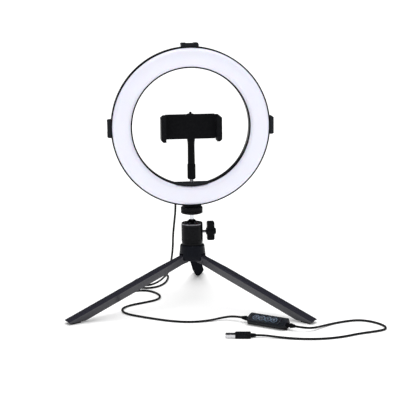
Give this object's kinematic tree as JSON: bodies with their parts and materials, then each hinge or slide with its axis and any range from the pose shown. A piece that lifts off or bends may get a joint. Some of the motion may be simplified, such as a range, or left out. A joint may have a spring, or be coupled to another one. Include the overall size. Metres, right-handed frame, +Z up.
{
  "type": "ring light",
  "caption": "Table-top LED ring light on a folding tripod with a ball head, a sprung phone clamp inside the ring and a USB lead with an in-line button controller",
  "frame": {"origin": "point on the floor on the axis of the tripod's hub and ball head", "axes": "+Z up, the light faces -Y, +X is the viewer's right"},
  "size_m": [0.4962, 0.4535, 0.4346],
  "materials": {
    "black_plastic": "satin moulded black plastic",
    "gloss_black": "glossy black plastic",
    "leg_plastic": "semi-gloss black plastic",
    "rubber": "black rubber",
    "black_metal": "black anodised metal",
    "chrome": "polished",
    "steel": "turned steel",
    "brass": "turned",
    "nylon": "natural nylon",
    "diffuser": "milky translucent",
    "board": "white solder mask",
    "led": "phosphor",
    "white_film": "white",
    "green_board": "solder mask",
    "cord": "soft black jacket",
    "button": "glossy cap",
    "tongue": "white"
  },
  "bodies": {
    "stand": {"tripod_hub": "leg_plastic", "hub_cap": "chrome", "hinge_pins": "steel", "hub_washer": "rubber", "base_stud": "steel", "lead_to_controller": "cord", "lead_to_plug": "cord", "controller_top": "gloss_black", "controller_base": "black_plastic", "controller_board": "green_board", "relief_in": "rubber", "relief_out": "rubber", "plug_body": "black_plastic", "plug_shell": "steel", "plug_tongue": "tongue"},
    "leg_rear": {"leg_rear": "leg_plastic", "foot_pad_rear": "rubber"},
    "leg_left": {"leg_left": "leg_plastic", "foot_pad_left": "rubber"},
    "leg_right": {"leg_right": "leg_plastic", "foot_pad_right": "rubber"},
    "head_base": {"ball_housing": "black_metal", "retaining_ring": "chrome", "ball_seat": "nylon"},
    "head_knob": {"lock_knob": "black_plastic", "lock_screw": "steel"},
    "ball": {"ball_neck": "steel", "platform_disc": "black_metal", "platform_stud": "steel"},
    "lock_wheel": {"lock_wheel": "black_metal"},
    "light": {"rear_cover": "black_plastic", "back_screws": "steel", "diffuser": "diffuser", "led_board": "board", "led_chips": "led", "reflector": "white_film", "shoe_top": "gloss_black", "shoe_left": "gloss_black", "shoe_right": "gloss_black", "base_block": "black_plastic", "base_insert": "brass", "phone_shelf": "gloss_black", "phone_stud": "steel", "lead_gland": "rubber"},
    "stem": {"stem_collar": "black_plastic", "stem_rod": "black_plastic"},
    "socket_nut": {"socket_nut": "black_plastic"},
    "clamp": {"clamp_body": "black_plastic", "back_pad": "rubber", "fixed_jaw_pad": "rubber", "jaw_spring": "steel"},
    "jaw": {"sliding_jaw": "black_plastic", "sliding_jaw_pad": "rubber", "guide_rods": "steel"},
    "button_power": {"button_power": "button"},
    "button_minus": {"button_minus": "button"},
    "button_plus": {"button_plus": "button"},
    "button_mode": {"button_mode": "button"}
  },
  "joints": [
    {"name": "leg_rear_fold", "type": "hinge", "parent": "stand", "child": "leg_rear", "pos_m": [0.00209, 0.01485, 0.082], "axis": [-0.9903, 0.1392, 0], "range_deg": [0, 66]},
    {"name": "leg_left_fold", "type": "hinge", "parent": "stand", "child": "leg_left", "pos_m": [-0.01391, -0.00562, 0.082], "axis": [0.3746, -0.9272, 0], "range_deg": [0, 66], "deforming": ["lead_to_controller"]},
    {"name": "leg_right_fold", "type": "hinge", "parent": "stand", "child": "leg_right", "pos_m": [0.01182, -0.00924, 0.082], "axis": [0.6157, 0.788, 0], "range_deg": [0, 66], "deforming": ["lead_to_plug"]},
    {"name": "head_pan", "type": "hinge", "parent": "stand", "child": "head_base", "pos_m": [0, 0, 0.108], "axis": [0, 0, 1], "continuous": true},
    {"name": "head_tilt", "type": "hinge", "parent": "head_base", "child": "ball", "pos_m": [0, 0, 0.1375], "axis": [1, 0, 0], "range_deg": [-40, 40]},
    {"name": "light_turn", "type": "hinge", "parent": "ball", "child": "light", "pos_m": [0, 0, 0.16], "axis": [0, 0, 1], "continuous": true},
    {"name": "lock_wheel_turn", "type": "hinge", "parent": "ball", "child": "lock_wheel", "pos_m": [0, 0, 0.1628], "axis": [0, 0, 1], "continuous": true},
    {"name": "lock_knob_turn", "type": "hinge", "parent": "head_base", "child": "head_knob", "pos_m": [0.03, 0, 0.125], "axis": [1, 0, 0], "continuous": true},
    {"name": "stem_turn", "type": "hinge", "parent": "light", "child": "stem", "pos_m": [0, -0.005, 0.22], "axis": [0, 0, 1], "continuous": true},
    {"name": "clamp_tilt", "type": "hinge", "parent": "stem", "child": "socket_nut", "pos_m": [0, -0.005, 0.306], "axis": [1, 0, 0], "range_deg": [-85, 0]},
    {"name": "clamp_spin", "type": "hinge", "parent": "socket_nut", "child": "clamp", "pos_m": [0, -0.005, 0.306], "axis": [0, 1, 0], "range_deg": [-90, 90]},
    {"name": "jaw_slide", "type": "slide", "parent": "clamp", "child": "jaw", "axis": [1, 0, 0], "range_m": [0, 0.028], "stiffness_N_per_m": 120, "springref_m": -0.03, "deforming": ["jaw_spring"]},
    {"name": "button_power_press", "type": "slide", "parent": "stand", "child": "button_power", "axis": [0.27, 0.3252, -0.9063], "range_m": [0, 0.0006], "stiffness_N_per_m": 400, "springref_m": -0.0005},
    {"name": "button_minus_press", "type": "slide", "parent": "stand", "child": "button_minus", "axis": [0.27, 0.3252, -0.9063], "range_m": [0, 0.0006], "stiffness_N_per_m": 400, "springref_m": -0.0005},
    {"name": "button_plus_press", "type": "slide", "parent": "stand", "child": "button_plus", "axis": [0.27, 0.3252, -0.9063], "range_m": [0, 0.0006], "stiffness_N_per_m": 400, "springref_m": -0.0005},
    {"name": "button_mode_press", "type": "slide", "parent": "stand", "child": "button_mode", "axis": [0.27, 0.3252, -0.9063], "range_m": [0, 0.0006], "stiffness_N_per_m": 400, "springref_m": -0.0005}
  ]
}
